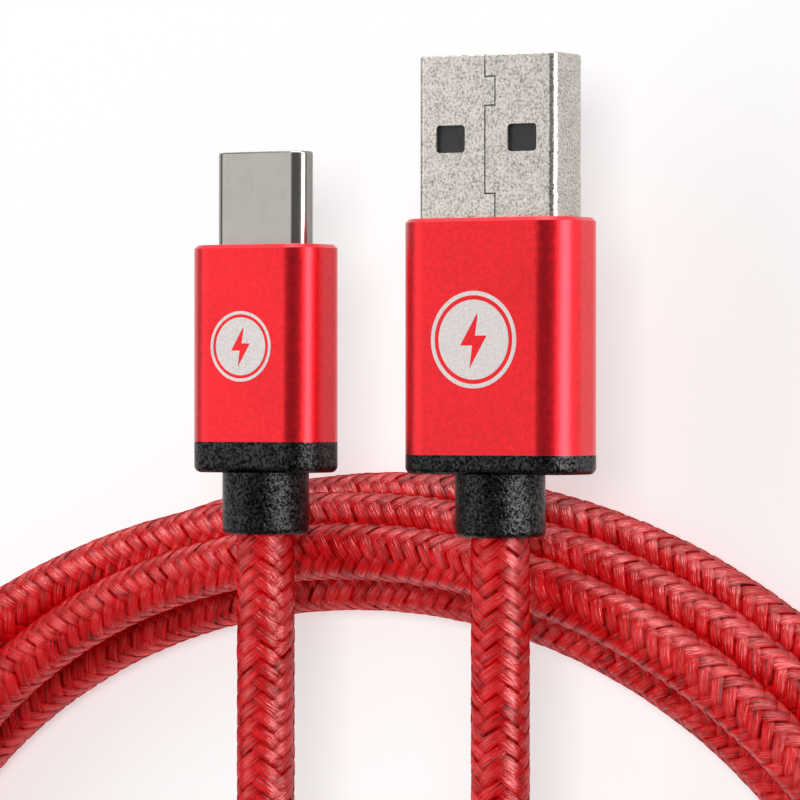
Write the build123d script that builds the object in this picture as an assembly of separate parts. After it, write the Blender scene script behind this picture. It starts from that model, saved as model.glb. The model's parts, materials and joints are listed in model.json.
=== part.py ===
from build123d import *

import math
import os

os.makedirs("parts", exist_ok=True)

# ---------------------------------------------------------------- driving dimensions (mm)
# The cable lies coiled flat on a table: the table is z = 0, the middle of the coil is x = y = 0,
# and both plugs point along +Y with their wide faces level.

CABLE_R = 2.25                 # outside of the braided sleeve
SLEEVE_WALL = 0.27
JACKET_R, JACKET_BORE = 1.86, 1.40
SHIELD_R, SHIELD_BORE = 1.28, 1.20
CORE_R, CORE_BORE = 0.42, 0.30
COPPER_R = 0.18
CORE_OFFSET = 0.64             # each of the four cores lies this far from the cable's middle

RING_X, RING_Y = 57.4, 49.6    # half axes of the coil's outermost turn, at the cable's middle
# how far inside that outermost turn the cable lies, at each quarter turn, clockwise from the left
TURN_INSETS = [5.0, 6.7, 9.8, 5.0, 4.8, 0.0, 0.3, 0.4, -0.2, 1.5, 0.9, 2.6, 7.9, 3.9, 3.2]
STEPS_PER_QUARTER = 30
TOUCH_GAP = 0.22               # air left between two turns that rest on each other
COIL_POINT_SPACING = 14.0      # least distance between the points that the coil's line runs through
SLEEVE_LENGTHS, SLEEVE_JOIN = 16, 0.1

USB_C_X = -2.4                 # where each leg's middle crosses the coil
USB_A_X = 18.6
NECK_START = 47.2              # y of the cable's exit from both strain reliefs
STRAIGHT_FROM = 4.0            # the legs run straight along +Y from here
LIFT_Y, SWAY_Y = 12.0, 30.0    # the two places where a leg is free to bend
BEND_Y = 43.4                  # where the cable bends under its plug
LIFT_GAP, SWAY_GAP, BEND_GAP = 0.95, 0.50, 0.65

NECK_LENGTH = 4.8
NECK_BORE_R = CABLE_R + 0.12
WALL = 0.8                     # wall of the aluminium shells
SPIGOT_LENGTH = 2.2            # of each strain relief, inside its shell
SLEEVE_SHORT_OF_SHELL = 0.3    # the braided sleeve is cut off inside the strain relief
CABLE_IN_SHELL = 3.4           # length of jacket that reaches into each shell
CRIMP_WALL, CRIMP_LENGTH = 0.2, 1.1

# USB-A plug, sizes across (x), up (z) and along (y)
A_SHELL = (15.0, 7.0, 18.05)
A_SHELL_CORNER = 2.7
A_BASE_LENGTH = 1.47
A_NECK_R = 3.45
A_METAL = (12.0, 4.5, 0.3)     # width, height and sheet thickness
A_EXPOSED, A_HIDDEN = 12.45, 6.3
A_WINDOW = (2.5, 2.1)
A_WINDOW_X, A_WINDOW_BACK = 3.1, 6.4
A_CONTACT_X = (-3.5, -1.0, 1.0, 3.5)
A_CONTACT = (1.0, 0.25)        # width and thickness
A_TIP_BEHIND_NOSE = (1.3, 2.3, 2.3, 1.3)
A_METAL_CORNER, A_SHEET_CORNER, A_MOUTH_CORNER = 0.6, 0.15, 0.65
A_NOSE_CHAMFER, A_WINDOW_CORNER = 0.12, 0.3
A_SEAM_WIDTH = 0.1
# the locking seam of the folded sheet: where each run starts behind the nose, and its side shift
A_SEAM_RUNS = [(0.0, -0.1), (1.7, 0.77), (3.9, -0.1), (10.6, 0.77)]
A_INSULATOR_INSET = 0.6        # the insulator stops this far inside both ends of the metal
A_CARRIER_DROP, A_CARRIER_FRONT = 1.85, 3.2
A_HOUSING_BEHIND, A_HOUSING_AHEAD = 0.9, 0.5
A_JOINT_BEHIND, A_STRIP_TAIL = 2.2, 1.4
A_BEAD = (1.3, 1.3, 1.3)
A_CAVITY_LESS = (5.0, 3.0)     # the inner moulding's hollow is this much less than the shell

# USB-C plug
C_SHELL = (11.5, 6.2, 15.4)
C_SHELL_CORNER = 2.4
C_BASE_LENGTH = 2.4
C_NECK_R = 3.4
C_METAL = (8.25, 2.4, 0.22)
C_EXPOSED, C_HIDDEN = 7.3, 2.6
C_TONGUE = (6.8, 0.84)         # the slot that takes the socket's tongue
C_PITCH, C_CONTACT_WIDTH = 0.5, 0.26
C_UPPER_PINS = (1, 4, 5, 6, 7, 9, 12)
C_LOWER_PINS = (1, 4, 5, 9, 12)
C_MIDDLE_PIN = 6.5
C_NOSE_ROUND, C_HOUSING_INSET = 0.2, 0.4
C_FLEX_BEHIND_NOSE = 7.2       # root of the contact beams and of the side latches
C_BEAM_LIFT, C_BEAM_THICK, C_BEAM_TIP = 0.03, 0.12, 1.6
C_BEAM_ROOM, C_BEAM_ROOM_FRONT, C_BEAM_ROOF = 3.05, 1.1, 0.12
C_LATCH_X, C_LATCH_HALF, C_LATCH_HALF_HEIGHT, C_LATCH_TIP = 3.49, 0.07, 0.28, 1.9
C_LATCH_ROOM, C_LATCH_ROOM_HALF_HEIGHT, C_LATCH_ROOM_FRONT = 3.75, 0.34, 1.4
C_ROOT_GAP, C_TAIL_LENGTH, C_LATCH_ROOT_LENGTH = 0.1, 3.2, 1.7
C_BOARD = (7.5, 3.2, 0.6)      # width, length and thickness
C_BOARD_BEHIND = 2.0
C_RESISTOR = (1.0, 0.5, 0.35)
C_RESISTOR_X, C_RESISTOR_Y = 2.1, 1.4
C_WIRE_ENDS_X = (1.0, -2.0, -1.5, 1.5)
C_BEAD = (0.9, 1.2, 0.6)
C_CAVITY_LESS = (3.0, 2.8)

CLEAR = 0.05                   # fitting gap between parts that are pressed or glued together
WIRE_GAP = 0.02                # air between a wire's insulation and the part it lies on
CAVITY_CORNER = 0.6
BEAD_ROUNDING = 0.35           # of the bead's shorter side


# ---------------------------------------------------------------- the line that the cable follows

def curve_through(knots, steps):
    """A smooth curve through the knots, sampled with the same number of steps in each span."""
    ends = [2 * knots[0] - knots[1]] + list(knots) + [2 * knots[-1] - knots[-2]]
    samples = []
    for i in range(len(knots) - 1):
        a, b, c, d = ends[i:i + 4]
        for k in range(steps):
            t = k / steps
            cubic = 2 * b + (c - a) * t + (2 * a - 5 * b + 4 * c - d) * t**2
            samples.append((cubic + (3 * b - a - 3 * c + d) * t**3) / 2)
    return samples + [knots[-1]]


def smooth_step(t):
    t = min(1.0, max(0.0, t))
    return t * t * (3 - 2 * t)


def half_circle(x_from, x_to, steps=36):
    """Plan of a half turn below y = 0, from one upright run of cable to the other."""
    middle, radius = (x_from + x_to) / 2, (x_from - x_to) / 2
    angles = [math.pi * k / steps for k in range(steps + 1)]
    return [(middle + radius * math.cos(a), -abs(radius) * math.sin(a)) for a in angles]


def rested_heights(plan, heights):
    """Lifts each later sample until it rests on the earlier turns under it, and smooths the climb."""
    reach = 2 * CABLE_R + TOUCH_GAP
    below = [[] for _ in plan]
    for i, (x, y) in enumerate(plan):
        for j in range(i - 20):
            gap = math.hypot(x - plan[j][0], y - plan[j][1])
            if gap < reach:
                below[i].append((j, math.sqrt(reach**2 - gap**2)))
    z = list(heights)
    for _ in range(120):
        for i, supports in enumerate(below):
            z[i] = max([z[i], CABLE_R] + [z[j] + rise for j, rise in supports])
        middle = [(z[i - 1] + 2 * z[i] + z[i + 1]) / 4 for i in range(1, len(z) - 1)]
        z = [z[0]] + middle + [z[-1]]
    for i, supports in enumerate(below):
        z[i] = max([z[i]] + [z[j] + rise for j, rise in supports])
    return z


def coil_line():
    """Points from the USB-C leg, round the coil, to the USB-A leg, and the height of both legs."""
    insets = curve_through(TURN_INSETS, STEPS_PER_QUARTER)
    ring = []
    for k, inset in enumerate(insets):
        angle = math.pi - k * math.pi / 2 / STEPS_PER_QUARTER
        ring.append(((RING_X - inset) * math.cos(angle), (RING_Y - inset) * math.sin(angle)))
    first_turn = half_circle(USB_C_X, ring[0][0])[:-1]
    last_turn = half_circle(ring[-1][0], USB_A_X)[1:]

    heights = rested_heights(first_turn + ring, [CABLE_R] * (len(first_turn) + len(ring)))
    leg_z = max(heights) + CABLE_R + A_NECK_R + TOUCH_GAP
    count = len(first_turn)
    for k in range(count):
        heights[k] += (leg_z - CABLE_R) * (1 - smooth_step(k / (0.7 * count)))
    top = heights[-1]
    for k in range(len(last_turn)):
        heights.append(top + (leg_z - top) * smooth_step((k + 1) / len(last_turn)))

    plan = first_turn + ring + last_turn
    points = [(x, y, z) for (x, y), z in zip(plan, heights)]
    straight = [STRAIGHT_FROM, STRAIGHT_FROM * 0.75, STRAIGHT_FROM / 2, STRAIGHT_FROM / 4]
    points = [(USB_C_X, y, leg_z) for y in straight] + points
    points += [(USB_A_X, y, leg_z) for y in reversed(straight)]
    return points, leg_z


def thinned(points, spacing, whole_ends=4):
    """The same line with its samples at least this far apart, and every sample kept at its ends."""
    kept = list(points[:whole_ends])
    for point in points[whole_ends:-whole_ends]:
        if min(math.dist(kept[-1], point), math.dist(point, points[-whole_ends])) >= spacing:
            kept.append(point)
    return kept + list(points[-whole_ends:])


# ---------------------------------------------------------------- shared shapes

def export(name, shape):
    solids = [solid for solid in shape.solids()]
    whole = Compound(children=solids) if len(solids) > 1 else solids[0]
    whole.label = name
    export_step(whole, f"parts/{name}.step")


def rounded(width, height, corner):
    return RectangleRounded(width, height, corner)


def block(x, z, section, y_from, y_to):
    """A flat section (across, up) carried along +Y from y_from to y_to."""
    face = Plane(origin=(x, y_from, z), x_dir=(1, 0, 0), z_dir=(0, 1, 0)) * section
    return extrude(face, y_to - y_from, dir=(0, 1, 0))


def bar(x_low, x_high, y_low, y_high, z_low, z_high):
    middle = ((x_low + x_high) / 2, (y_low + y_high) / 2, (z_low + z_high) / 2)
    return Pos(*middle) * Box(x_high - x_low, y_high - y_low, z_high - z_low)


def core_places():
    """Where the four cores lie around the cable's middle, across and up."""
    angles = [math.radians(45 + 90 * k) for k in range(4)]
    return [(CORE_OFFSET * math.cos(a), CORE_OFFSET * math.sin(a)) for a in angles]


def disc(radius, bore=0.0):
    face = Circle(radius)
    return face - Circle(bore) if bore else face


def straight_tube(x, z, y_from, y_to, radius, bore=0.0):
    return block(x, z, disc(radius, bore), y_from, y_to)


def straight_cores(x, z, y_from, y_to, radius, bore=0.0):
    return bundle(straight_tube(x + dx, z + dz, y_from, y_to, radius, bore)
                  for dx, dz in core_places())


def pipe(line, radius, bore=0.0, dx=0.0, dz=0.0):
    """A round bar or tube along a line, from dx and dz beside it at its start."""
    along = line % 0
    start = Plane(origin=line @ 0, x_dir=along.cross(Vector(0, 0, 1)), z_dir=along) * Pos(dx, dz)
    outside = sweep(start * Circle(radius), path=line)
    if not bore:
        return outside
    inside = sweep(start * Circle(bore), path=line)
    outer_ends = [f for f in outside.faces() if f.geom_type == GeomType.PLANE]
    inner_ends = [f for f in inside.faces() if f.geom_type == GeomType.PLANE]
    walls = [f for f in list(outside.faces()) + list(inside.faces())
             if f.geom_type != GeomType.PLANE]
    rims = []
    for end in outer_ends:
        hole = min(inner_ends, key=lambda f: (f.center() - end.center()).length)
        rims.append(Face(end.outer_wire(), [hole.outer_wire()]))
    return Solid(Shell(walls + rims))


def bundle(shapes):
    return Compound(children=[solid for shape in shapes for solid in shape.solids()])


# ---------------------------------------------------------------- the coil

def build_coil(points):
    """The sleeve is laid in lengths end to end. The jacket and the bundle of cores run right through."""
    line = Spline(*thinned(points, COIL_POINT_SPACING))

    def cut_in_lengths(gap):
        return [line.trim(k / SLEEVE_LENGTHS + gap, (k + 1) / SLEEVE_LENGTHS - gap)
                for k in range(SLEEVE_LENGTHS)]

    sleeve_lines = cut_in_lengths(SLEEVE_JOIN / 2 / line.length)
    export("coil_sleeve", bundle(pipe(one, CABLE_R, CABLE_R - SLEEVE_WALL)
                                 for one in sleeve_lines))
    through = Wire(cut_in_lengths(0.0))
    export("coil_inner_jacket", pipe(through, JACKET_R, JACKET_BORE))
    export("coil_core_bundle", pipe(through, SHIELD_R))


# ---------------------------------------------------------------- the two legs

def build_leg(prefix, x, y_shell, cable_end):
    """One straight leg. Its soft layers are whole, and its jacket is cut where the cable bends."""
    y_start = STRAIGHT_FROM + 0.2
    sleeve_end = y_shell - SLEEVE_SHORT_OF_SHELL
    export(f"{prefix}_leg_sleeve",
           straight_tube(x, leg_z, y_start, sleeve_end, CABLE_R, CABLE_R - SLEEVE_WALL))
    export(f"{prefix}_leg_foil_shield",
           straight_tube(x, leg_z, y_start, cable_end, SHIELD_R, SHIELD_BORE))
    export(f"{prefix}_leg_core_insulation",
           straight_cores(x, leg_z, y_start, cable_end, CORE_R, CORE_BORE))
    export(f"{prefix}_leg_core_copper", straight_cores(x, leg_z, y_start, cable_end, COPPER_R))
    spans = {
        "leg_root_jacket": (y_start, LIFT_Y - LIFT_GAP),
        "lower_leg_jacket": (LIFT_Y + LIFT_GAP, SWAY_Y - SWAY_GAP),
        "upper_leg_jacket": (SWAY_Y + SWAY_GAP, BEND_Y - BEND_GAP),
        "plug_jacket": (BEND_Y + BEND_GAP, cable_end),
    }
    for name, (y_from, y_to) in spans.items():
        export(f"{prefix}_{name}", straight_tube(x, leg_z, y_from, y_to, JACKET_R, JACKET_BORE))


# ---------------------------------------------------------------- pieces that both plugs have

def strain_relief(x, neck_r, base, corner, base_length):
    """Neck, base flange and the spigot that plugs into the aluminium shell."""
    y_base = NECK_START + NECK_LENGTH
    y_top = y_base + base_length
    neck = straight_tube(x, leg_z, NECK_START, y_base, neck_r)
    neck = fillet(neck.edges().filter_by(GeomType.CIRCLE).sort_by(Axis.Y)[0], 0.45)
    flange = block(x, leg_z, rounded(base[0], base[1], corner), y_base, y_top)
    flange = fillet(flange.edges().group_by(Axis.Y)[0], 0.55)
    fit = WALL + CLEAR
    spigot = block(x, leg_z, rounded(base[0] - 2 * fit, base[1] - 2 * fit, corner - WALL),
                   y_top, y_top + SPIGOT_LENGTH)
    body = neck + flange + spigot
    return body - straight_tube(x, leg_z, NECK_START, y_top + SPIGOT_LENGTH, NECK_BORE_R)


def aluminium_shell(x, size, corner, y_from, metal_section):
    """Drawn tube with a front wall that closes round the metal plug."""
    width, height, length = size
    outside = block(x, leg_z, rounded(width, height, corner), y_from, y_from + length)
    outside = chamfer(outside.edges().group_by(Axis.Y)[-1], 0.28)
    hollow = rounded(width - 2 * WALL, height - 2 * WALL, corner - WALL)
    inside = block(x, leg_z, hollow, y_from, y_from + length - WALL)
    mouth = block(x, leg_z, metal_section, y_from + length - WALL, y_from + length)
    return outside - inside - mouth


def inner_mold(x, size, corner, y_from, y_to, cavity):
    """Moulded block that holds the joints, hollow over the wires, open at both ends."""
    fit = 2 * (WALL + CLEAR)
    body = block(x, leg_z, rounded(size[0] - fit, size[1] - fit, corner - WALL), y_from, y_to)
    return body - block(x, leg_z, cavity, y_from, y_to)


def crimp_ring(x, y_from):
    """Split ring squeezed on to the jacket."""
    bore = JACKET_R + CLEAR
    ring = straight_tube(x, leg_z, y_from, y_from + CRIMP_LENGTH, bore + CRIMP_WALL, bore)
    slot = bar(x - 0.12, x + 0.12, y_from, y_from + CRIMP_LENGTH, leg_z, leg_z + 2 * CABLE_R)
    return ring - slot


def wire_fan(x, y_from, ends):
    """The four wires from the cut end of the cable to their joints: one line for each."""
    lines = []
    for (dx, dz), (end_x, end_y, end_z) in zip(core_places(), ends):
        start = (x + dx, y_from, leg_z + dz)
        lines.append(Spline(start, (end_x, end_y, end_z), tangents=[(0, 1, 0), (0, 1, 0)]))
    return lines


def wires(lines, radius, bore=0.0):
    return bundle(pipe(line, radius, bore) for line in lines)


def solder_beads(places, size, cut):
    """A rounded bead of solder over each joint, with the parts that it wraps cut out of it."""
    beads = []
    for place in places:
        bead = Pos(*place) * Box(*size)
        bead = fillet(bead.edges().filter_by(Axis.Y), min(size[0], size[2]) * BEAD_ROUNDING)
        for shape in cut:
            bead = bead - shape
        beads += bead.solids()
    return Compound(children=beads)


# ---------------------------------------------------------------- USB-A plug

def jigsaw_seam(x, y_back, y_nose, z_low, z_high):
    """The butt seam of the folded sheet, stepped sideways so that it locks."""
    half = A_SEAM_WIDTH / 2
    ends = [start for start, _ in A_SEAM_RUNS[1:]] + [y_nose - y_back]
    cut = None
    for k, ((start, shift), end) in enumerate(zip(A_SEAM_RUNS, ends)):
        run = bar(x + shift - half, x + shift + half, y_nose - end, y_nose - start, z_low, z_high)
        cut = run if cut is None else cut + run
        if k:
            low, high = sorted((A_SEAM_RUNS[k - 1][1], shift))
            cut = cut + bar(x + low - half, x + high + half,
                            y_nose - start - half, y_nose - start + half, z_low, z_high)
    return cut


def build_usb_a():
    x, z = USB_A_X, leg_z
    y_shell = NECK_START + NECK_LENGTH + A_BASE_LENGTH
    y_front = y_shell + A_SHELL[2]
    y_nose = y_front + A_EXPOSED
    y_back = y_front - A_HIDDEN
    width, height, sheet = A_METAL
    joint_y = y_back - A_JOINT_BEHIND
    cable_end = y_shell + CABLE_IN_SHELL

    export("usb_a_strain_relief",
           strain_relief(x, A_NECK_R, A_SHELL, A_SHELL_CORNER, A_BASE_LENGTH))
    mouth = rounded(width + 2 * CLEAR, height + 2 * CLEAR, A_MOUTH_CORNER)
    export("usb_a_aluminium_shell", aluminium_shell(x, A_SHELL, A_SHELL_CORNER, y_shell, mouth))

    metal = block(x, z, rounded(width, height, A_METAL_CORNER), y_back, y_nose)
    metal = chamfer(metal.edges().group_by(Axis.Y)[-1], A_NOSE_CHAMFER)
    inside = rounded(width - 2 * sheet, height - 2 * sheet, A_SHEET_CORNER)
    metal = metal - block(x, z, inside, y_back, y_nose)
    window_y = y_nose - A_WINDOW_BACK
    for side in (-1, 1):
        opening = Box(A_WINDOW[0], A_WINDOW[1], height + 2)
        opening = fillet(opening.edges().filter_by(Axis.Z), A_WINDOW_CORNER)
        metal = metal - Pos(x + side * A_WINDOW_X, window_y, z) * opening
    metal = metal - jigsaw_seam(x, y_back, y_nose, z + height / 2 - 2 * sheet, z + height)
    export("usb_a_metal_shell", metal)

    inner_half = width / 2 - sheet - CLEAR
    roof = z + height / 2 - sheet - CLEAR
    floor = z - A_CARRIER_DROP
    y_rear = y_back + A_INSULATOR_INSET
    insulator = bar(x - inner_half, x + inner_half, y_rear, y_nose - A_INSULATOR_INSET, z, roof)
    insulator = insulator + bar(x - inner_half, x + inner_half, y_rear,
                                y_front - A_CARRIER_FRONT, floor, roof)
    housing = bar(x - inner_half, x + inner_half, y_back - A_HOUSING_BEHIND,
                  y_back + A_HOUSING_AHEAD, floor, roof)
    contact_width, contact_thick = A_CONTACT
    strips = []
    for dx, behind_nose in zip(A_CONTACT_X, A_TIP_BEHIND_NOSE):
        low, high = x + dx - contact_width / 2, x + dx + contact_width / 2
        tip = y_nose - behind_nose
        strips.append(bar(low, high, joint_y - A_STRIP_TAIL, tip, z, z + contact_thick))
        groove = bar(low - CLEAR, high + CLEAR, y_back - A_JOINT_BEHIND, tip + CLEAR,
                     z, z + contact_thick + CLEAR)
        insulator = insulator - groove
        housing = housing - groove
    export("usb_a_insulator", insulator)
    export("usb_a_rear_housing", housing)
    export("usb_a_contacts", Compound(children=strips))

    ends = [(x + dx, joint_y - 0.4, z - CORE_R - WIRE_GAP) for dx in
            (A_CONTACT_X[3], A_CONTACT_X[0], A_CONTACT_X[1], A_CONTACT_X[2])]
    lines = wire_fan(x, cable_end + 0.1, ends)
    export("usb_a_wire_insulation", wires(lines, CORE_R, CORE_BORE))
    export("usb_a_wire_copper", wires(lines, COPPER_R))
    beads = [(x + dx, joint_y, z - CLEAR) for dx in A_CONTACT_X]
    wire_space = [straight_tube(end[0], end[2], joint_y - 2, joint_y - 0.1, CORE_R + 0.06)
                  for end in ends]
    export("usb_a_solder_joints", solder_beads(beads, A_BEAD, wire_space + strips))

    cavity = rounded(A_SHELL[0] - A_CAVITY_LESS[0], A_SHELL[1] - A_CAVITY_LESS[1], CAVITY_CORNER)
    export("usb_a_inner_mold",
           inner_mold(x, A_SHELL, A_SHELL_CORNER, y_shell + SPIGOT_LENGTH + 0.1, y_back - 1.0,
                      cavity)
           - straight_tube(x, z, y_shell, cable_end + 0.3, JACKET_R + 0.35))
    export("usb_a_crimp_ring", crimp_ring(x, cable_end - CRIMP_LENGTH))
    build_leg("usb_a", x, y_shell, cable_end)


# ---------------------------------------------------------------- USB-C plug

def stadium(width, height):
    return SlotOverall(width, height)


def build_usb_c():
    x, z = USB_C_X, leg_z
    y_shell = NECK_START + NECK_LENGTH + C_BASE_LENGTH
    y_front = y_shell + C_SHELL[2]
    y_nose = y_front + C_EXPOSED
    y_back = y_front - C_HIDDEN
    width, height, sheet = C_METAL
    flex_y = y_nose - C_FLEX_BEHIND_NOSE
    root_y = flex_y + C_ROOT_GAP
    cable_end = y_shell + CABLE_IN_SHELL

    export("usb_c_strain_relief",
           strain_relief(x, C_NECK_R, C_SHELL, C_SHELL_CORNER, C_BASE_LENGTH))
    mouth = stadium(width + 2 * CLEAR, height + 2 * CLEAR)
    export("usb_c_aluminium_shell", aluminium_shell(x, C_SHELL, C_SHELL_CORNER, y_shell, mouth))

    metal = block(x, z, stadium(width, height), y_back, y_nose)
    metal = fillet(metal.edges().group_by(Axis.Y)[-1], C_NOSE_ROUND)
    inside = stadium(width - 2 * sheet, height - 2 * sheet)
    export("usb_c_metal_shell", metal - block(x, z, inside, y_back, y_nose))

    inner_width, inner_height = width - 2 * sheet - 2 * CLEAR, height - 2 * sheet - 2 * CLEAR
    front = block(x, z, stadium(inner_width, inner_height), flex_y + 3 * C_ROOT_GAP,
                  y_nose - C_HOUSING_INSET)
    tongue = bar(x - C_TONGUE[0] / 2, x + C_TONGUE[0] / 2, flex_y, y_nose,
                 z - C_TONGUE[1] / 2, z + C_TONGUE[1] / 2)
    roof = inner_height / 2 - C_BEAM_ROOF
    beam_room = bar(x - C_BEAM_ROOM, x + C_BEAM_ROOM, flex_y, y_nose - C_BEAM_ROOM_FRONT,
                    z - roof, z + roof)
    latch_room = bar(x - C_LATCH_ROOM, x + C_LATCH_ROOM, flex_y, y_nose - C_LATCH_ROOM_FRONT,
                     z - C_LATCH_ROOM_HALF_HEIGHT, z + C_LATCH_ROOM_HALF_HEIGHT)
    export("usb_c_front_housing", front - tongue - beam_room - latch_room)

    def beams(pins, side, y_from, y_to):
        near = z + side * (C_TONGUE[1] / 2 + C_BEAM_LIFT)
        low, high = sorted((near, near + side * C_BEAM_THICK))
        half = C_CONTACT_WIDTH / 2
        places = [x + (pin - C_MIDDLE_PIN) * C_PITCH for pin in pins]
        return [bar(place - half, place + half, y_from, y_to, low, high) for place in places]

    def latch(side, y_from, y_to):
        middle = x + side * C_LATCH_X
        return bar(middle - C_LATCH_HALF, middle + C_LATCH_HALF, y_from, y_to,
                   z - C_LATCH_HALF_HEIGHT, z + C_LATCH_HALF_HEIGHT)

    export("usb_c_upper_contacts",
           Compound(children=beams(C_UPPER_PINS, 1, root_y, y_nose - C_BEAM_TIP)))
    export("usb_c_lower_contacts",
           Compound(children=beams(C_LOWER_PINS, -1, root_y, y_nose - C_BEAM_TIP)))
    export("usb_c_left_latch", latch(-1, root_y, y_nose - C_LATCH_TIP))
    export("usb_c_right_latch", latch(1, root_y, y_nose - C_LATCH_TIP))

    board_front = flex_y - C_BOARD_BEHIND
    board_y = board_front - C_BOARD[1]
    board_top = C_BOARD[2] / 2
    board = bar(x - C_BOARD[0] / 2, x + C_BOARD[0] / 2, board_y, board_front,
                z - board_top, z + board_top)
    export("usb_c_circuit_board", board)
    tails = (beams(C_UPPER_PINS, 1, flex_y - C_TAIL_LENGTH, flex_y)
             + beams(C_LOWER_PINS, -1, flex_y - C_TAIL_LENGTH, flex_y))
    export("usb_c_contact_tails", Compound(children=tails))
    latch_roots = [latch(side, flex_y - C_LATCH_ROOT_LENGTH, flex_y) for side in (-1, 1)]
    export("usb_c_latch_roots", Compound(children=latch_roots))

    rear = block(x, z, stadium(inner_width, inner_height), board_front + C_ROOT_GAP,
                 flex_y - C_ROOT_GAP)
    for strip in tails + latch_roots:
        rear = rear - strip
    export("usb_c_rear_housing", rear)
    resistor_x, resistor_y = x + C_RESISTOR_X, board_y + C_RESISTOR_Y
    export("usb_c_resistor",
           bar(resistor_x - C_RESISTOR[0] / 2, resistor_x + C_RESISTOR[0] / 2,
               resistor_y - C_RESISTOR[1] / 2, resistor_y + C_RESISTOR[1] / 2,
               z + board_top, z + board_top + C_RESISTOR[2]))

    wire_z = board_top + CORE_R + WIRE_GAP
    sides = (1, 1, -1, -1)
    ends = [(x + dx, board_y - 0.4, z + side * wire_z) for dx, side in zip(C_WIRE_ENDS_X, sides)]
    lines = wire_fan(x, cable_end + 0.1, ends)
    export("usb_c_wire_insulation", wires(lines, CORE_R, CORE_BORE))
    export("usb_c_wire_copper", wires(lines, COPPER_R))
    bead_z = board_top + C_BEAD[2] / 2
    beads = [(x + dx, board_y + 0.4, z + side * bead_z) for dx, side in zip(C_WIRE_ENDS_X, sides)]
    export("usb_c_solder_joints", solder_beads(beads, C_BEAD, [board]))

    cavity = rounded(C_SHELL[0] - C_CAVITY_LESS[0], C_SHELL[1] - C_CAVITY_LESS[1], CAVITY_CORNER)
    export("usb_c_inner_mold",
           inner_mold(x, C_SHELL, C_SHELL_CORNER, y_shell + SPIGOT_LENGTH + 0.1, y_back - 0.2,
                      cavity)
           - straight_tube(x, z, y_shell, cable_end, JACKET_R + 0.1))
    export("usb_c_crimp_ring", crimp_ring(x, y_shell + SPIGOT_LENGTH - CRIMP_LENGTH - 0.1))
    build_leg("usb_c", x, y_shell, cable_end)


cable_points, leg_z = coil_line()
build_coil(cable_points)
build_usb_a()
build_usb_c()
print(f"leg height {leg_z:.3f}, cable length in the coil "
      f"{sum(math.dist(a, b) for a, b in zip(cable_points, cable_points[1:])):.0f}")
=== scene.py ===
import json
import math

import bpy
import numpy as np
from mathutils import Matrix, Vector


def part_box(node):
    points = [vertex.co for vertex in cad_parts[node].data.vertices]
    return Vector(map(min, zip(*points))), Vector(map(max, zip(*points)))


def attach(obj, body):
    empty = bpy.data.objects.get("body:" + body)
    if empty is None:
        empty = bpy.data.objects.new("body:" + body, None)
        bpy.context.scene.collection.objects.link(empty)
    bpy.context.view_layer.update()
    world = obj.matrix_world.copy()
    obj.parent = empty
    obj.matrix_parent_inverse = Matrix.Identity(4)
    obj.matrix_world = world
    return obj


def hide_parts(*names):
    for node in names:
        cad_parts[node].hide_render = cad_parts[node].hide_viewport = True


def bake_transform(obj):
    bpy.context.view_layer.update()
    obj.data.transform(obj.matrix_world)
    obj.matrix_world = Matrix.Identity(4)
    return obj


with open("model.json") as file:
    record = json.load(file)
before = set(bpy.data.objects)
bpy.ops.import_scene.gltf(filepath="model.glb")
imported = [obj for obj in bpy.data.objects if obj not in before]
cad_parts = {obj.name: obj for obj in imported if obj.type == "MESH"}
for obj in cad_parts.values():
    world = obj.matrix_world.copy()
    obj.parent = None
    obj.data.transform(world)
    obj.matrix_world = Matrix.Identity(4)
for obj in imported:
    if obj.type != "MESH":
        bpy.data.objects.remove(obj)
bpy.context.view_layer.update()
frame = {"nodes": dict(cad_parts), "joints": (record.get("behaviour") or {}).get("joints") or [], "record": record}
MM = 0.001

# ---------------------------------------------------------------- sizes read from the frame (mm)


def box_mm(node):
    low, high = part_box(node)
    return np.array(low) / MM, np.array(high) / MM


def middle_mm(node):
    low, high = box_mm(node)
    return (low + high) / 2


def pivot_y(joint_name):
    joint = next(j for j in frame["joints"] if j["name"] == joint_name)
    return joint["pos_m"][1] / MM


LEG_X = {side: middle_mm(side + "_leg_sleeve")[0] for side in ("usb_c", "usb_a")}
LEG_Z = middle_mm("usb_a_leg_sleeve")[2]
CABLE_R = (box_mm("usb_a_leg_sleeve")[1][0] - box_mm("usb_a_leg_sleeve")[0][0]) / 2
BRAID_STOPS_SHORT = 0.3      # how far inside the CAD sleeve's end the braid ends
SLEEVE_END = {side: box_mm(side + "_leg_sleeve")[1][1] - BRAID_STOPS_SHORT for side in LEG_X}
NECK_START = box_mm("usb_a_strain_relief")[0][1]

# ---------------------------------------------------------------- the cable's line, as in the CAD

RING_X, RING_Y = 57.4, 49.6     # half width and half depth of the coil's widest turn
# how far inside that turn the cable lies, at each quarter turn
TURN_INSETS = [5.0, 6.7, 9.8, 5.0, 4.8, 0.0, 0.3, 0.4, -0.2, 1.5, 0.9, 2.6, 7.9, 3.9, 3.2]
STEPS_PER_QUARTER = 30
TOUCH_GAP = 0.22                # air between two turns that rest on each other
NEXT_SAMPLES = 20               # samples too near along the cable to rest on each other
SETTLING_ROUNDS = 120
FIRST_DROP = 0.7                # share of the first half turn in which the cable comes down
LEG_FOOT_Y, LEG_SAMPLES = 2.0, 18   # a leg runs straight from here up
FINE_STEPS = 12                 # samples per point when the line's length is measured


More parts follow.
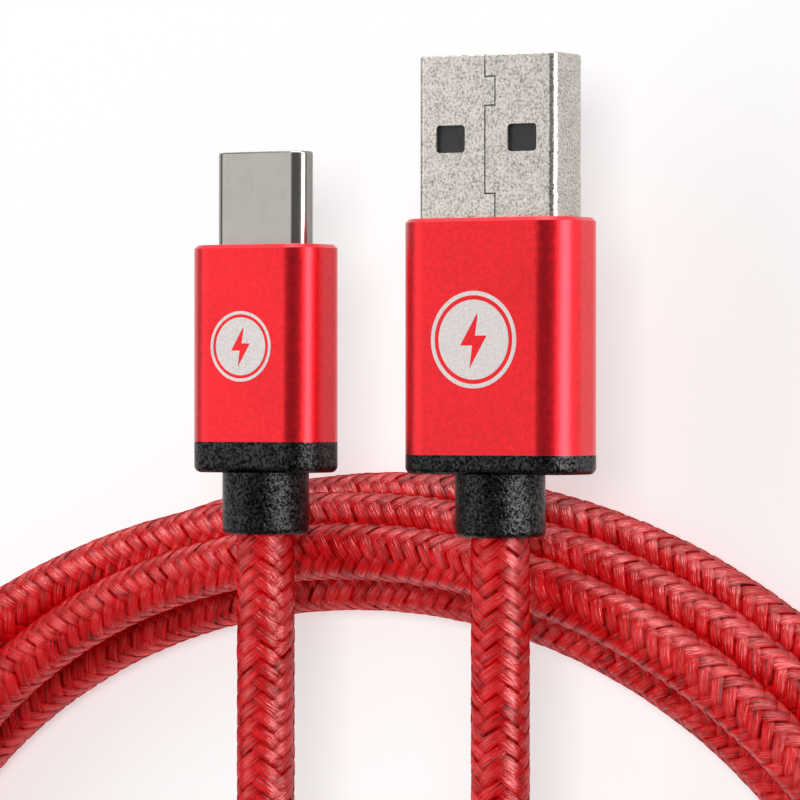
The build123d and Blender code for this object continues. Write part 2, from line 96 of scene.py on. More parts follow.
def curve_through(knots, steps):
    """A smooth curve through the knots, sampled with the same number of steps in each span."""
    ends = [2 * knots[0] - knots[1]] + list(knots) + [2 * knots[-1] - knots[-2]]
    samples = []
    for i in range(len(knots) - 1):
        a, b, c, d = ends[i:i + 4]
        for k in range(steps):
            t = k / steps
            cubic = 2 * b + (c - a) * t + (2 * a - 5 * b + 4 * c - d) * t**2
            samples.append((cubic + (3 * b - a - 3 * c + d) * t**3) / 2)
    return samples + [knots[-1]]


def smooth_step(t):
    t = min(1.0, max(0.0, t))
    return t * t * (3 - 2 * t)


def half_circle(x_from, x_to, steps=36):
    """Plan of a half turn below y = 0, from one upright run of cable to the other."""
    middle, radius = (x_from + x_to) / 2, (x_from - x_to) / 2
    angles = [math.pi * k / steps for k in range(steps + 1)]
    return [(middle + radius * math.cos(a), -abs(radius) * math.sin(a)) for a in angles]


def rested_heights(plan):
    """The height at which each sample rests on the earlier turns under it, with a smooth climb."""
    reach = 2 * CABLE_R + TOUCH_GAP
    below = [[] for _ in plan]
    for i, (x, y) in enumerate(plan):
        for j in range(i - NEXT_SAMPLES):
            gap = math.hypot(x - plan[j][0], y - plan[j][1])
            if gap < reach:
                below[i].append((j, math.sqrt(reach**2 - gap**2)))
    z = [CABLE_R] * len(plan)
    for _ in range(SETTLING_ROUNDS):
        for i, supports in enumerate(below):
            z[i] = max([z[i], CABLE_R] + [z[j] + rise for j, rise in supports])
        middle = [(z[i - 1] + 2 * z[i] + z[i + 1]) / 4 for i in range(1, len(z) - 1)]
        z = [z[0]] + middle + [z[-1]]
    for i, supports in enumerate(below):
        z[i] = max([z[i]] + [z[j] + rise for j, rise in supports])
    return z


def cable_points():
    """Points along the whole cable, from inside one plug, round the coil, into the other plug."""
    insets = curve_through(TURN_INSETS, STEPS_PER_QUARTER)
    ring = []
    for k, inset in enumerate(insets):
        angle = math.pi - k * math.pi / 2 / STEPS_PER_QUARTER
        ring.append(((RING_X - inset) * math.cos(angle), (RING_Y - inset) * math.sin(angle)))
    first_turn = half_circle(LEG_X["usb_c"], ring[0][0])[:-1]
    last_turn = half_circle(ring[-1][0], LEG_X["usb_a"])[1:]
    heights = rested_heights(first_turn + ring)
    count = len(first_turn)
    for k in range(count):
        heights[k] += (LEG_Z - CABLE_R) * (1 - smooth_step(k / (FIRST_DROP * count)))
    top = heights[-1]
    for k in range(len(last_turn)):
        heights.append(top + (LEG_Z - top) * smooth_step((k + 1) / len(last_turn)))
    plan = first_turn + ring + last_turn
    coil = [(x, y, z) for (x, y), z in zip(plan, heights)]
    runs = {side: [(LEG_X[side], y, LEG_Z) for y in
                   np.linspace(LEG_FOOT_Y, SLEEVE_END[side], LEG_SAMPLES)] for side in LEG_X}
    return np.array(runs["usb_c"][::-1] + coil + runs["usb_a"])


def second_derivatives(t, values):
    """Second derivatives of the natural cubic spline through values at t."""
    n = len(t)
    h = np.diff(t)
    system, right = np.eye(n), np.zeros((n, values.shape[1]))
    for i in range(1, n - 1):
        system[i, i - 1:i + 2] = h[i - 1], 2 * (h[i - 1] + h[i]), h[i]
        right[i] = 6 * ((values[i + 1] - values[i]) / h[i] - (values[i] - values[i - 1]) / h[i - 1])
    return np.linalg.solve(system, right)


def spline_at(t, values, bend, where):
    i = np.clip(np.searchsorted(t, where) - 1, 0, len(t) - 2)
    h = (t[i + 1] - t[i])[:, None]
    a = ((t[i + 1] - where)[:, None]) / h
    b = 1 - a
    return (a * values[i] + b * values[i + 1]
            + ((a**3 - a) * bend[i] + (b**3 - b) * bend[i + 1]) * h**2 / 6)


def even_line(points, spacing):
    """Samples the smooth line through points at an even spacing along its length."""
    t = np.concatenate([[0], np.cumsum(np.linalg.norm(np.diff(points, axis=0), axis=1))])
    bend = second_derivatives(t, points)
    fine = np.linspace(0, t[-1], FINE_STEPS * len(points))
    dense = spline_at(t, points, bend, fine)
    run = np.concatenate([[0], np.cumsum(np.linalg.norm(np.diff(dense, axis=0), axis=1))])
    wanted = np.arange(0, run[-1], spacing)
    return spline_at(t, points, bend, np.interp(wanted, run, fine))


def carried_frames(line):
    """Two unit vectors square to the line at each sample, carried along it without twist."""
    tangents = np.gradient(line, axis=0)
    tangents /= np.linalg.norm(tangents, axis=1)[:, None]
    side = np.empty_like(line)
    side[0] = np.cross(tangents[0], (0.0, 0.0, 1.0))
    side[0] /= np.linalg.norm(side[0])
    for i in range(1, len(line)):
        v = side[i - 1] - tangents[i] * (side[i - 1] @ tangents[i])
        side[i] = v / np.linalg.norm(v)
    return side, np.cross(side, tangents)


# ---------------------------------------------------------------- the braided sleeve

YARNS_EACH_WAY = 8
BRAID_LAY = 10.4            # length in which a yarn goes once round
CELL_POINTS = 5             # mesh points along each side of a crossing
RING_SPACING = BRAID_LAY / (2 * YARNS_EACH_WAY * CELL_POINTS)
WAVE_HEIGHT, YARN_HEIGHT = 0.055, 0.085
WAVE_POWER, HUMP_POWER = 0.7, 4     # under 1 squares the wave; over 2 flattens a yarn's back
LIFT_SPREAD, DRIFT_SPREAD = 0.35, 0.10      # how unlike two floats are in height and in place
DRIFT_SEED, SECOND_FAMILY_SEED = 31, 57     # keep the repeatable numbers of each use apart
CORNER_NUDGE = 0.02                 # softens the height where four crossings meet
BRAID_TOP = CABLE_R + 0.03
ON_LEG_WITHIN, ON_LEG_FROM_Y = 0.02, 0.5    # a ring this near a leg's axis, past this y, is on it


def scatter(a, b):
    """A repeatable number from 0 to 1 for each pair of whole numbers."""
    mixed = np.sin(a * 12.9898 + b * 78.233) * 43758.5453
    return mixed - np.floor(mixed)


def yarn_height(across, along, yarn, crest):
    """Height of one yarn family: rounded across, and up over two crossings, down under two."""
    phase = along + yarn - crest
    wave = np.cos(phase * math.pi / 2)
    wave = np.sign(wave) * np.abs(wave)**WAVE_POWER
    float_number = np.floor((phase + 2) / 4)
    lift = 1 + LIFT_SPREAD * (scatter(yarn, float_number) - 0.5)
    drift = DRIFT_SPREAD * (scatter(yarn + DRIFT_SEED, float_number) - 0.5)
    offset = across - yarn - 0.5 + drift
    hump = np.sqrt(np.clip(1 - np.abs(2 * offset)**HUMP_POWER, 0, 1))
    return WAVE_HEIGHT * wave * lift + YARN_HEIGHT * hump * lift


def braid_heights(p, q):
    """Height of the top yarn over the sleeve's floor at braid coordinates p and q."""
    total = 0
    for dp in (-CORNER_NUDGE, CORNER_NUDGE):
        for dq in (-CORNER_NUDGE, CORNER_NUDGE):
            i, j = np.floor(p + dp), np.floor(q + dq)
            high_p = yarn_height(p + dp, q + dq, i, 1.0)
            high_q = yarn_height(q + dq, p + dp, j, 3.0)
            total = total + np.maximum(high_p, high_q)
    return total / 4


class Braid:
    """The whole sleeve's mesh, cut into pieces later. Its rows lie on the yarns' own crossings."""

    def __init__(self):
        self.line = even_line(cable_points(), RING_SPACING)
        self.count = YARNS_EACH_WAY * CELL_POINTS
        side, up = carried_frames(self.line)
        rings = np.arange(len(self.line))[:, None]
        steps = 2 * np.arange(self.count)[None, :] + rings % 2
        self.a = (steps - rings) // 2
        self.b = (steps + rings) // 2
        p, q = self.a / CELL_POINTS, self.b / CELL_POINTS
        self.height = braid_heights(p, q)
        self.angle = steps / (2 * self.count) * 2 * math.pi
        radius = BRAID_TOP - WAVE_HEIGHT - YARN_HEIGHT + self.height
        out = (side[:, None, :] * np.cos(self.angle)[..., None]
               + up[:, None, :] * np.sin(self.angle)[..., None])
        self.points = self.line[:, None, :] + out * radius[..., None]

    def ring_at(self, side, y):
        """The ring where the leg of that side passes y."""
        on_leg = np.abs(self.line[:, 0] - LEG_X[side]) < ON_LEG_WITHIN
        on_leg &= self.line[:, 1] > ON_LEG_FROM_Y
        return int(np.argmin(np.where(on_leg, np.abs(self.line[:, 1] - y), np.inf)))

    def piece(self, name, first, last):
        """The stretch whose quads are centred on rings first to last - 1."""
        first, last = max(first, 1), min(last, len(self.line) - 1)
        rings = np.arange(first, last)[:, None]
        k = np.arange(self.count)[None, :]
        parity = rings % 2

        def index(ring, column):
            return (ring - first + 1) * self.count + column % self.count

        quads = np.stack([index(rings, k), index(rings - 1, k + parity),
                          index(rings, k + 1), index(rings + 1, k + parity)], axis=-1)
        quads = quads.reshape(-1, 4)
        points = self.points[first - 1:last + 1].reshape(-1, 3) * MM
        mesh = bpy.data.meshes.new(name)
        mesh.vertices.add(len(points))
        mesh.vertices.foreach_set("co", points.ravel())
        mesh.loops.add(4 * len(quads))
        mesh.loops.foreach_set("vertex_index", quads.ravel().astype(np.int32))
        mesh.polygons.add(len(quads))
        mesh.polygons.foreach_set("loop_start", np.arange(0, 4 * len(quads), 4, dtype=np.int32))
        mesh.polygons.foreach_set("use_smooth", np.ones(len(quads), bool))

        a, b = self.a[first:last].reshape(-1, 1), self.b[first:last].reshape(-1, 1)
        i, j = a // CELL_POINTS, b // CELL_POINTS
        p_over = (i + j) % 4 < 2
        corner_a = a + np.array([[0, 1, 1, 0]])
        corner_b = b + np.array([[0, 0, 1, 1]])
        across_p, across_q = corner_a / CELL_POINTS - i, corner_b / CELL_POINTS - j
        along_p, along_q = corner_b / CELL_POINTS, corner_a / CELL_POINTS
        fibre = np.stack([np.where(p_over, across_p, across_q),
                          np.where(p_over, along_p, along_q)], axis=-1)
        yarn = np.where(p_over, i, j + SECOND_FAMILY_SEED)
        tone = scatter(yarn, np.floor(np.where(p_over, (b / CELL_POINTS + i + 1) / 4,
                                               (a / CELL_POINTS + j - 1) / 4)))
        uv = mesh.uv_layers.new(name="fibre")
        uv.data.foreach_set("uv", fibre.astype(np.float32).ravel())
        self.atlas(mesh, first, last)
        # level is the yarn's height over the sleeve; the braid's colour takes painted shade from it, darker where
        # the yarns lie low
        level = mesh.attributes.new("level", "FLOAT", "POINT")
        level.data.foreach_set("value", (self.height[first - 1:last + 1].ravel()
                                         / (WAVE_HEIGHT + YARN_HEIGHT)).astype(np.float32))
        face_tone = mesh.attributes.new("tone", "FLOAT", "FACE")
        face_tone.data.foreach_set("value", tone.ravel().astype(np.float32))
        yarn_number = mesh.attributes.new("yarn", "FLOAT", "FACE")
        yarn_number.data.foreach_set("value", yarn.ravel().astype(np.float32))
        mesh.update()
        piece = bpy.data.objects.new(name, mesh)
        bpy.context.scene.collection.objects.link(piece)
        return piece

    def atlas(self, mesh, first, last):
        """A second layer of texture places with no overlap: the stretch is laid out in rows.

        Each row keeps a margin of one quad and a half at its ends and at its upper side.
        """
        rows = max(1, round(math.sqrt((last - first) / self.count / 2)))
        per_row = math.ceil((last - first) / rows)
        ring = np.arange(last - first)[:, None, None]
        row = ring // per_row
        column = np.arange(self.count)[None, :, None] + 0.5 * (ring % 2)
        du = np.array([0.0, -1.0, 0.0, 1.0])
        dv = np.array([0.0, 0.5, 1.0, 0.5])
        u = (ring - row * per_row + 1.5 + du) / (per_row + 3)
        v = (row + (column + 0.5 + dv) / (self.count + 2.5)) / rows
        uv = mesh.uv_layers.new(name="OFBake")
        flat = np.stack(np.broadcast_arrays(u, v), axis=-1)
        uv.data.foreach_set("uv", flat.astype(np.float32).ravel())


# ---------------------------------------------------------------- material helpers

class Nodes:
    """Short names for building a node tree."""

    def __init__(self, name):
        self.material = bpy.data.materials.new(name)
        self.material.use_nodes = True
        self.tree = self.material.node_tree
        self.surface = self.tree.nodes["Principled BSDF"]

    def add(self, kind, **values):
        node = self.tree.nodes.new(kind)
        for key, value in values.items():
            if hasattr(node, key):
                setattr(node, key, value)
            else:
                node.inputs[key.replace("_", " ")].default_value = value
        return node

    def link(self, source, node, socket):
        self.tree.links.new(source, node.inputs[socket])

    def math(self, operation, a, b):
        node = self.tree.nodes.new("ShaderNodeMath")
        node.operation = operation
        for slot, value in enumerate((a, b)):
            if isinstance(value, (int, float)):
                node.inputs[slot].default_value = value
            else:
                self.tree.links.new(value, node.inputs[slot])
        return node.outputs[0]

    def ramp(self, source, stops):
        node = self.tree.nodes.new("ShaderNodeValToRGB")
        elements = node.color_ramp.elements
        while len(elements) < len(stops):
            elements.new(0.5)
        for element, (place, colour) in zip(elements, stops):
            element.position = place
            element.color = (*colour, 1.0)
        self.tree.links.new(source, node.inputs[0])
        return node.outputs[0]

    def noise(self, scale, detail=2.0, roughness=0.5, vector=None):
        node = self.tree.nodes.new("ShaderNodeTexNoise")
        node.inputs["Scale"].default_value = scale
        node.inputs["Detail"].default_value = detail
        node.inputs["Roughness"].default_value = roughness
        if vector is None:
            vector = self.tree.nodes.new("ShaderNodeTexCoord").outputs["Object"]
        self.tree.links.new(vector, node.inputs["Vector"])
        return node.outputs[0]

    def bump(self, height, strength, distance):
        node = self.tree.nodes.new("ShaderNodeBump")
        node.inputs["Strength"].default_value = strength
        node.inputs["Distance"].default_value = distance
        self.tree.links.new(height, node.inputs["Height"])
        return node.outputs[0]

    def set(self, **values):
        for key, value in values.items():
            socket = self.surface.inputs[key.replace("_", " ")]
            if isinstance(value, bpy.types.NodeSocket):
                self.tree.links.new(value, socket)
            else:
                socket.default_value = value

    def attribute(self, name):
        node = self.tree.nodes.new("ShaderNodeAttribute")
        node.attribute_name = name
        return node.outputs["Fac"]


# ---------------------------------------------------------------- materials

def braid_material():
    """Red nylon yarns of fine parallel filaments, with painted shade that makes them dark between the yarns.

    Only the yarns' tops shine, with a pink highlight that fades out towards the cable's edges.
    """
    n = Nodes("red_nylon_braid")
    uv = n.add("ShaderNodeUVMap", uv_map="fibre").outputs[0]
    parts = n.add("ShaderNodeSeparateXYZ")
    n.link(uv, parts, 0)
    across, along = parts.outputs[0], parts.outputs[1]
    yarn = n.attribute("yarn")

    def strands(count, run, detail):
        place = n.add("ShaderNodeCombineXYZ")
        n.link(n.math("MULTIPLY", across, count), place, 0)
        n.link(n.math("MULTIPLY", along, run), place, 1)
        n.link(n.math("MULTIPLY", yarn, 3.7), place, 2)
        return n.noise(1.0, detail, 0.6, place.outputs[0])

    streak = n.math("ADD", n.math("MULTIPLY", strands(7.0, 0.45, 0.5), 1.6),
                    strands(15.0, 0.9, 1.0))
    streak = n.math("SUBTRACT", streak, 0.8)
    level = n.attribute("level")
    tone = n.attribute("tone")
    # painted shade: the colour follows the yarn's height (level), so it darkens in the valleys between yarns; the
    # streaks and the tone are the filaments' and yarns' own colour
    shade = n.math("ADD", n.math("MULTIPLY", level, 0.55), n.math("MULTIPLY", streak, 0.70))
    shade = n.math("ADD", shade, n.math("MULTIPLY", tone, 0.10))
    colour = n.ramp(shade, [(0.40, (0.070, 0.0002, 0.0004)), (0.62, (0.42, 0.001, 0.002)),
                            (0.85, (0.66, 0.002, 0.004)), (1.0, (0.85, 0.008, 0.011))])
    relief = n.bump(streak, 1.0, 0.00006)
    tangent = n.add("ShaderNodeTangent", direction_type="UV_MAP", uv_map="fibre").outputs[0]
    roughness = n.math("ADD", n.math("MULTIPLY", streak, -0.14), 0.30)
    facing = n.add("ShaderNodeLayerWeight", Blend=0.5).outputs["Facing"]
    fade = n.math("MULTIPLY", n.math("SUBTRACT", 0.8, facing), 2.0)
    fade = n.math("MINIMUM", n.math("MAXIMUM", fade, 0.0), 1.0)
    shine = n.math("MULTIPLY", n.math("SUBTRACT", level, 0.45), 2.2)
    shine = n.math("MULTIPLY", n.math("MAXIMUM", shine, 0.0), fade)
    n.set(Base_Color=colour, Roughness=roughness, Normal=relief, Tangent=tangent,
          Anisotropic=0.35, Specular_IOR_Level=shine, Specular_Tint=(1.0, 0.52, 0.52, 1.0))
    return n.material


def anodised_material():
    """Bead-blasted aluminium, anodised red: dyed metal with a very fine sparkle, sealed on top."""
    n = Nodes("red_anodised_aluminium")
    fine = n.noise(9000, 2.0, 0.6)
    coarse = n.noise(2300, 3.0, 0.6)
    cloud = n.noise(160, 2.0, 0.5)
    grain = n.math("ADD", n.math("MULTIPLY", fine, 0.5), n.math("MULTIPLY", coarse, 0.5))
    colour = n.ramp(n.math("ADD", n.math("MULTIPLY", grain, 0.8), n.math("MULTIPLY", cloud, 0.2)),
                    [(0.33, (0.58, 0.0015, 0.007)), (0.66, (0.92, 0.005, 0.018))])
    relief = n.bump(grain, 0.5, 0.00004)
    roughness = n.math("ADD", n.math("MULTIPLY", coarse, 0.12), 0.30)
    n.set(Base_Color=colour, Metallic=1.0, Roughness=roughness, Normal=relief,
          Coat_Weight=0.55, Coat_Roughness=0.30, Coat_Normal=relief)
    return n.material


def nickel_material(name, brightness, grain_scale, grain_strength, roughness):
    """Nickel plate: warm grey, with the fine pitted satin of tumbled steel where it is rough."""
    n = Nodes(name)
    pits = n.noise(grain_scale, 2.0, 0.6)
    cloud = n.noise(grain_scale / 5, 3.0, 0.6)
    mixed = n.math("ADD", n.math("MULTIPLY", pits, 0.8), n.math("MULTIPLY", cloud, 0.2))
    spread = 0.5 * min(1.0, grain_strength * 2)
    warm = (0.52 * brightness, 0.488 * brightness, 0.448 * brightness)
    colour = n.ramp(mixed, [(0.36, tuple((1 - spread) * c for c in warm)), (0.50, warm),
                            (0.64, tuple((1 + 0.6 * spread) * c for c in warm))])
    relief = n.bump(pits, grain_strength, 0.00005)
    rough = n.math("ADD", n.math("MULTIPLY", pits, 0.4 * spread), roughness)
    n.set(Base_Color=colour, Metallic=1.0, Roughness=rough, Normal=relief)
    return n.material


def moulding_material():
    """Black moulding with the fine sparkling grain of a spark-eroded tool."""
    n = Nodes("black_moulding")
    grain = n.noise(4600, 2.0, 0.6)
    coarse = n.noise(1700, 2.0, 0.6)
    mixed = n.math("ADD", n.math("MULTIPLY", grain, 0.75), n.math("MULTIPLY", coarse, 0.25))
    colour = n.ramp(mixed, [(0.40, (0.0003, 0.0003, 0.0003)), (0.68, (0.004, 0.004, 0.0045))])
    relief = n.bump(mixed, 1.0, 0.00010)
    roughness = n.math("ADD", n.math("MULTIPLY", grain, 0.2), 0.22)
    shine = n.ramp(mixed, [(0.42, (0.04, 0.04, 0.04)), (0.62, (0.55, 0.55, 0.55))])
    n.set(Base_Color=colour, Roughness=roughness, Normal=relief, Specular_IOR_Level=shine)
    return n.material


def plain_plastic(name, dark, light, roughness=0.4):
    n = Nodes(name)
    grain = n.noise(2500, 3.0, 0.6)
    colour = n.ramp(grain, [(0.3, dark), (0.7, light)])
    n.set(Base_Color=colour, Roughness=n.math("ADD", n.math("MULTIPLY", grain, 0.2), roughness),
          Normal=n.bump(grain, 0.2, 0.00003))
    return n.material


def plain_metal(name, dark, light, roughness=0.25, scale=2500):
    n = Nodes(name)
    grain = n.noise(scale, 3.0, 0.6)
    colour = n.ramp(grain, [(0.3, dark), (0.7, light)])
    n.set(Base_Color=colour, Metallic=1.0, Normal=n.bump(grain, 0.25, 0.00003),
          Roughness=n.math("ADD", n.math("MULTIPLY", grain, 0.15), roughness))
    return n.material


def mark_material():
    """Laser-whitened aluminium: a pale, slightly warm silver with a fine printed dot grain."""
    n = Nodes("laser_mark")
    grain = n.noise(7000, 2.0, 0.6)
    colour = n.ramp(grain, [(0.3, (0.66, 0.60, 0.58)), (0.7, (0.86, 0.80, 0.78))])
    n.set(Base_Color=colour, Metallic=0.35, Roughness=0.45, Normal=n.bump(grain, 0.3, 0.00003))
    return n.material


def slot_materials():
    return {
        "red_nylon_braid": braid_material(),
        "dark_jacket": plain_plastic("dark_jacket", (0.01, 0.01, 0.01), (0.04, 0.04, 0.04)),
        "foil": plain_metal("foil", (0.6, 0.6, 0.62), (0.85, 0.85, 0.87), 0.2, 900),
        "core_insulation": plain_plastic("core_insulation", (0.7, 0.7, 0.66), (0.85, 0.85, 0.8)),
        "copper": plain_metal("copper", (0.55, 0.22, 0.10), (0.80, 0.42, 0.24)),
        "red_anodised_aluminium": anodised_material(),
        "black_moulding": moulding_material(),
        "nickel_plate": nickel_material("nickel_plate", 1.0, 5200, 0.5, 0.20),
        "black_insulator": plain_plastic("black_insulator", (0.006, 0.006, 0.006),
                                         (0.02, 0.02, 0.02), 0.35),
        "white_insulator": plain_plastic("white_insulator", (0.7, 0.7, 0.68), (0.85, 0.85, 0.83)),
        "gold_contacts": plain_metal("gold_contacts", (0.75, 0.50, 0.16), (0.92, 0.70, 0.32)),
        "spring_steel": plain_metal("spring_steel", (0.55, 0.55, 0.55), (0.75, 0.75, 0.75)),
        "solder": plain_metal("solder", (0.45, 0.45, 0.47), (0.70, 0.70, 0.72), 0.35),
        "circuit_board": plain_plastic("circuit_board", (0.01, 0.10, 0.03), (0.02, 0.20, 0.06)),
        "resistor_body": plain_plastic("resistor_body", (0.01, 0.01, 0.01), (0.04, 0.04, 0.04)),
        "inner_moulding": plain_plastic("inner_moulding", (0.6, 0.6, 0.58), (0.8, 0.8, 0.78)),
        "crimp_brass": plain_metal("crimp_brass", (0.5, 0.42, 0.22), (0.75, 0.68, 0.42)),
    }


# ---------------------------------------------------------------- finishing the CAD nodes

SHARP_FROM_DEG = 32
SAME_POINT = 1e-7           # metres: points nearer than this are taken as one
FLAT_FACE_WEIGHT = 90


def shade_smooth(node):
    """Smooth shading with sharp edges kept. The node's points stay as they are."""
    mesh = node.data
    count = len(mesh.vertices)
    co = np.empty(count * 3, np.float64)
    mesh.vertices.foreach_get("co", co)
    cells = np.round(co.reshape(-1, 3) / SAME_POINT).astype(np.int64)
    same = np.unique(cells, axis=0, return_inverse=True)[1].ravel()
    normals = np.empty(len(mesh.polygons) * 3)
    mesh.polygons.foreach_get("normal", normals)
    normals = normals.reshape(-1, 3)
    faces_of = {}
    for polygon in mesh.polygons:
        ring = [int(same[v]) for v in polygon.vertices]
        for a, b in zip(ring, ring[1:] + ring[:1]):
            faces_of.setdefault((min(a, b), max(a, b)), []).append(polygon.index)
    limit = math.cos(math.radians(SHARP_FROM_DEG))
    sharp = np.zeros(len(mesh.edges), bool)
    for edge in mesh.edges:
        a, b = (int(same[v]) for v in edge.vertices)
        near = faces_of.get((min(a, b), max(a, b)), [])
        sharp[edge.index] = len(near) != 2 or normals[near[0]] @ normals[near[1]] < limit
    layer = (mesh.attributes.get("sharp_edge")
             or mesh.attributes.new("sharp_edge", "BOOLEAN", "EDGE"))
    layer.data.foreach_set("value", sharp)
    mesh.polygons.foreach_set("use_smooth", np.ones(len(mesh.polygons), bool))
    weld = node.modifiers.new("weld", "WELD")
    weld.merge_threshold = SAME_POINT
    even = node.modifiers.new("flat_faces_shade_flat", "WEIGHTED_NORMAL")
    even.mode, even.weight, even.keep_sharp = "FACE_AREA", FLAT_FACE_WEIGHT, True


def finish_nodes(materials):
    slots = {s["node"]: s["material_slot"] for s in frame["record"]["subparts"]}
    for name, node in frame["nodes"].items():
        node.data.materials.clear()
        node.data.materials.append(materials[slots[name]])
        if not name.startswith("coil_"):
            shade_smooth(node)
    frame["nodes"]["usb_c_metal_shell"].data.materials[0] = materials["smooth_nickel"]


# ---------------------------------------------------------------- building the sleeve's pieces

# how far each side of its hinge the braid reaches, used only to place the cuts between a leg's braid pieces
LIFT_REACH, SWAY_REACH, BEND_REACH = 8.0, 6.0, 3.5
ROOT_FROM_Y = 1.5           # where a leg's first piece of braid meets the coil's
COIL_PIECES = 5
LEG_LAYERS = ("leg_sleeve", "leg_foil_shield", "leg_core_insulation", "leg_core_copper",
              "leg_root_jacket", "lower_leg_jacket", "upper_leg_jacket")


def build_braid(material):
    braid = Braid()
    cuts = {}
    for side in LEG_X:
        lift, sway = pivot_y(side + "_leg_lift"), pivot_y(side + "_leg_sway")
        bend = pivot_y(side + "_plug_bend")
        joints = (
            ("root", lift, LIFT_REACH, "coil", side + "_lower_leg"),
            ("middle", sway, SWAY_REACH, side + "_lower_leg", side + "_upper_leg"),
            ("tip", bend, BEND_REACH, side + "_upper_leg", side + "_plug"),
        )
        borders = [braid.ring_at(side, y) for y in
                   (ROOT_FROM_Y, (lift + LIFT_REACH + sway - SWAY_REACH) / 2,
                    (sway + SWAY_REACH + bend - BEND_REACH) / 2)]
        borders.append(len(braid.line) if side == "usb_a" else 1)
        cuts[side] = borders[0]
        for k, (part, pivot, reach, body_a, body_b) in enumerate(joints):
            first, last = sorted(borders[k:k + 2])
            piece = braid.piece(f"{side}_braid_{part}", first, last)
            piece.data.materials.append(material)
            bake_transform(piece)
            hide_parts(*[f"{side}_{layer}" for layer in LEG_LAYERS])
    first, last = cuts["usb_c"], cuts["usb_a"]
    edges = np.linspace(first, last, COIL_PIECES + 1).astype(int)
    for k in range(COIL_PIECES):
        piece = braid.piece(f"coil_braid_{k + 1}", edges[k], edges[k + 1])
        piece.data.materials.append(material)
        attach(piece, "coil")
        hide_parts("coil_sleeve")


# ---------------------------------------------------------------- the generic marks

BOLT = [(0.16, 1.0), (-0.52, -0.14), (-0.06, -0.14), (-0.20, -1.0), (0.52, 0.20), (0.05, 0.20)]
BOLT_SHARE, DISC_SHARE, RING_SHARE = 0.60, 0.82, 0.91       # of the mark's radius
MARK_RADIUS = {"usb_a": 3.7, "usb_c": 2.75}
MARK_SHIFT_X, MARK_SHIFT_Y = -0.4, -0.25                    # from the middle of the shell's top
MARK_THICK, MARK_GAP = 0.02, 0.002
DISC_STEPS = 120
PARALLEL, END_SLACK = 1e-12, 1e-9       # rounding allowances


def ray_to_outline(outline, angle):
    """Distance from the middle to an outline that is star shaped about it."""
    dx, dy = math.cos(angle), math.sin(angle)
    best = 0.0
    for (ax, ay), (bx, by) in zip(outline, outline[1:] + outline[:1]):
        ex, ey = bx - ax, by - ay
        det = ex * dy - ey * dx
        if abs(det) < PARALLEL:
            continue
        along = (ay * dx - ax * dy) / det
        reach = (ex * ay - ey * ax) / -det
        if -END_SLACK <= along <= 1 + END_SLACK and reach > best:
            best = reach
    return best


def raised_band(points, faces, angles, inner, outer):
    """Adds a closed flat band between two outlines given as distances at the same angles."""
    base, n = len(points), len(angles)
    for z in (0.0, MARK_THICK):
        for radii in (inner, outer):
            points += [(r * math.cos(t), r * math.sin(t), z) for r, t in zip(radii, angles)]
    low_in, low_out, top_in, top_out = (base + k * n for k in range(4))
    for k in range(n):
        m = (k + 1) % n
        faces += [[top_in + k, top_out + k, top_out + m, top_in + m],
                  [low_in + m, low_out + m, low_out + k, low_in + k],
                  [low_out + k, low_out + m, top_out + m, top_out + k],
                  [low_in + m, low_in + k, top_in + k, top_in + m]]


def flat_mark(name, centre, radius, body, material):
    """A disc with a lightning bolt left open in it, and a thin ring round it."""
    bolt = [(x * radius * BOLT_SHARE, y * radius * BOLT_SHARE) for x, y in BOLT]
    corners = [math.atan2(y, x) % (2 * math.pi) for x, y in bolt]
    steps = [2 * math.pi * k / DISC_STEPS for k in range(DISC_STEPS)]
    angles = sorted(set(steps + corners))
    points, faces = [], []
    raised_band(points, faces, angles, [ray_to_outline(bolt, t) for t in angles],
                [DISC_SHARE * radius] * len(angles))
    raised_band(points, faces, angles, [RING_SHARE * radius] * len(angles),
                [radius] * len(angles))
    mesh = bpy.data.meshes.new(name)
    mesh.from_pydata([(x * MM, y * MM, z * MM) for x, y, z in points], [], faces)
    mesh.transform(Matrix.Translation(Vector(centre) * MM))
    mesh.materials.append(material)
    piece = bpy.data.objects.new(name, mesh)
    bpy.context.scene.collection.objects.link(piece)
    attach(piece, body)


def build_marks(material):
    for side, radius in MARK_RADIUS.items():
        middle = middle_mm(side + "_aluminium_shell")
        top = box_mm(side + "_aluminium_shell")[1][2]
        centre = (middle[0] + MARK_SHIFT_X, middle[1] + MARK_SHIFT_Y, top + MARK_GAP)
        flat_mark(side + "_bolt_mark", centre, radius, side + "_plug", material)


# ---------------------------------------------------------------- stage, light and camera

VIEW_TILT = math.radians(30)
VIEW_DISTANCE = 400.0
PIXELS_PER_MM = 12.95
IMAGE_PIXELS, SENSOR_MM = 800, 36.0
TARGET_LEFT, TARGET_UP = 8.85, 10.47        # from the USB-A leg's axis and from its neck's start
NEAREST, FARTHEST = 0.01, 10.0              # metres, what the camera sees between
LIGHT_AIM = Vector((0.01, 0.06, 0.01))      # metres, between the two plugs
LEFT_RADIANCE, RIGHT_RADIANCE, BACK_RADIANCE = 1.35, 8.0, 7.0
FRONT_RADIANCE, WORLD_RADIANCE = 17.0, 0.22
FLOOR_HALF, FLOOR_DROP = 4.0, 0.0003        # metres: the drop clears the lowest yarns


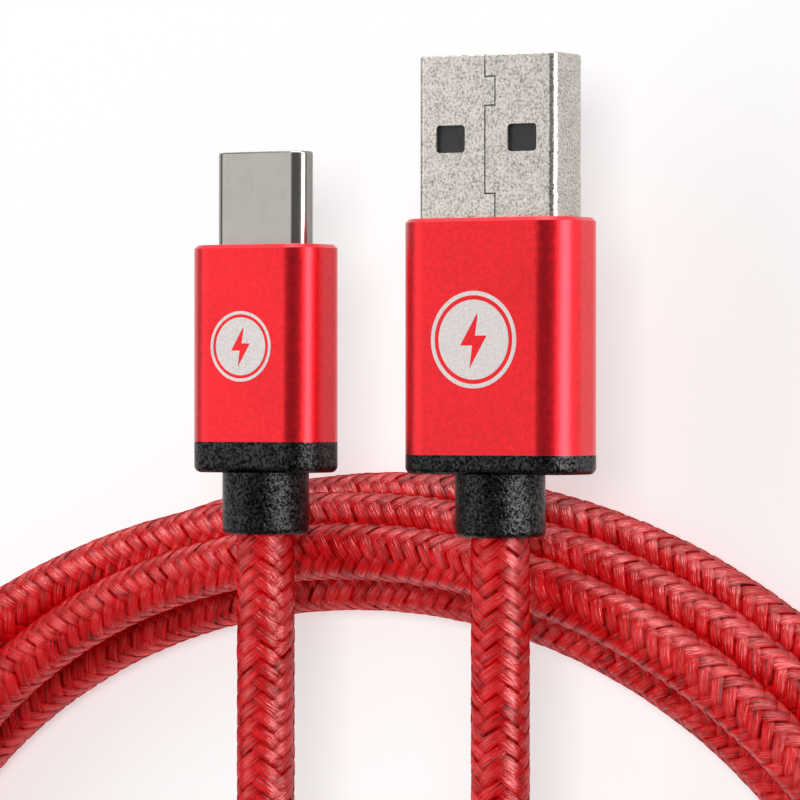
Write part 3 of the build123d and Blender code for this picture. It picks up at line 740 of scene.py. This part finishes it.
def build_camera():
    """Looks down at the plugs, leaning towards +X, with +Y up in the picture."""
    away = Vector((math.sin(VIEW_TILT), 0.0, math.cos(VIEW_TILT)))
    target = Vector((LEG_X["usb_a"] - TARGET_LEFT, NECK_START + TARGET_UP, LEG_Z))
    data = bpy.data.cameras.new("camera")
    data.sensor_width = SENSOR_MM
    data.lens = PIXELS_PER_MM * VIEW_DISTANCE * SENSOR_MM / IMAGE_PIXELS
    data.clip_start, data.clip_end = NEAREST, FARTHEST
    camera = bpy.data.objects.new("camera", data)
    right = Vector((math.cos(VIEW_TILT), 0.0, -math.sin(VIEW_TILT)))
    up = Vector((0.0, 1.0, 0.0))
    turn = Matrix((right, up, away)).transposed()
    camera.matrix_world = (Matrix.Translation((target + away * VIEW_DISTANCE) * MM)
                           @ turn.to_4x4())
    bpy.context.scene.collection.objects.link(camera)
    bpy.context.scene.camera = camera


def softbox(name, lean, height, depth_y, length, radiance, distance=0.7):
    """A lit panel seen from the plugs at an angle from straight up: positive lean is towards +X."""
    angle = math.radians(lean)
    place = LIGHT_AIM + Vector((math.sin(angle), depth_y, math.cos(angle))) * distance
    data = bpy.data.lights.new(name, "AREA")
    data.shape = "RECTANGLE"
    data.size, data.size_y = height, length
    data.energy = radiance * math.pi * height * length
    light = bpy.data.objects.new(name, data)
    light.location = place
    away = (place - LIGHT_AIM).normalized()
    along = (Vector((0, 1, 0)) - away * away.y).normalized()
    turn = Matrix((along.cross(away), along, away)).transposed()
    light.matrix_world = Matrix.Translation(place) @ turn.to_4x4()
    bpy.context.scene.collection.objects.link(light)
    return light


def build_light():
    """Right and back are seen only as highlights, and front only lights. Left does both."""
    softbox("left", lean=-45, height=0.60, depth_y=0.1, length=0.9, radiance=LEFT_RADIANCE)
    right = softbox("right", lean=76, height=0.44, depth_y=0.1, length=0.8,
                    radiance=RIGHT_RADIANCE)
    right.visible_diffuse = False
    back = softbox("back", lean=8, height=0.9, depth_y=3.2, length=0.5, radiance=BACK_RADIANCE,
                   distance=0.24)
    back.visible_diffuse = False
    front = softbox("front", lean=22, height=0.20, depth_y=0.12, length=0.20,
                    radiance=FRONT_RADIANCE)
    front.visible_glossy = False
    world = bpy.data.worlds.new("studio")
    bpy.context.scene.world = world
    world.use_nodes = True
    background = world.node_tree.nodes["Background"]
    background.inputs[0].default_value = (1.0, 1.0, 1.0, 1.0)
    background.inputs[1].default_value = WORLD_RADIANCE


def build_floor():
    """A pale table top."""
    size = FLOOR_HALF
    mesh = bpy.data.meshes.new("floor")
    mesh.from_pydata([(-size, -size, 0), (size, -size, 0), (size, size, 0), (-size, size, 0)],
                     [], [(0, 1, 2, 3)])
    floor = bpy.data.objects.new("floor", mesh)
    floor.location.z = -FLOOR_DROP
    bpy.context.scene.collection.objects.link(floor)
    n = Nodes("floor")
    n.set(Base_Color=(0.56, 0.565, 0.565, 1.0), Roughness=0.9, Specular_IOR_Level=0.0,
          Emission_Color=(1.0, 1.0, 1.0, 1.0), Emission_Strength=0.53)
    mesh.materials.append(n.material)


# ---------------------------------------------------------------- build

materials = slot_materials()
materials["smooth_nickel"] = nickel_material("smooth_nickel", 0.60, 900, 0.04, 0.18)
finish_nodes(materials)
build_braid(materials["red_nylon_braid"])
build_marks(mark_material())
build_floor()
build_light()
build_camera()
bpy.context.scene.view_settings.view_transform = "Standard"
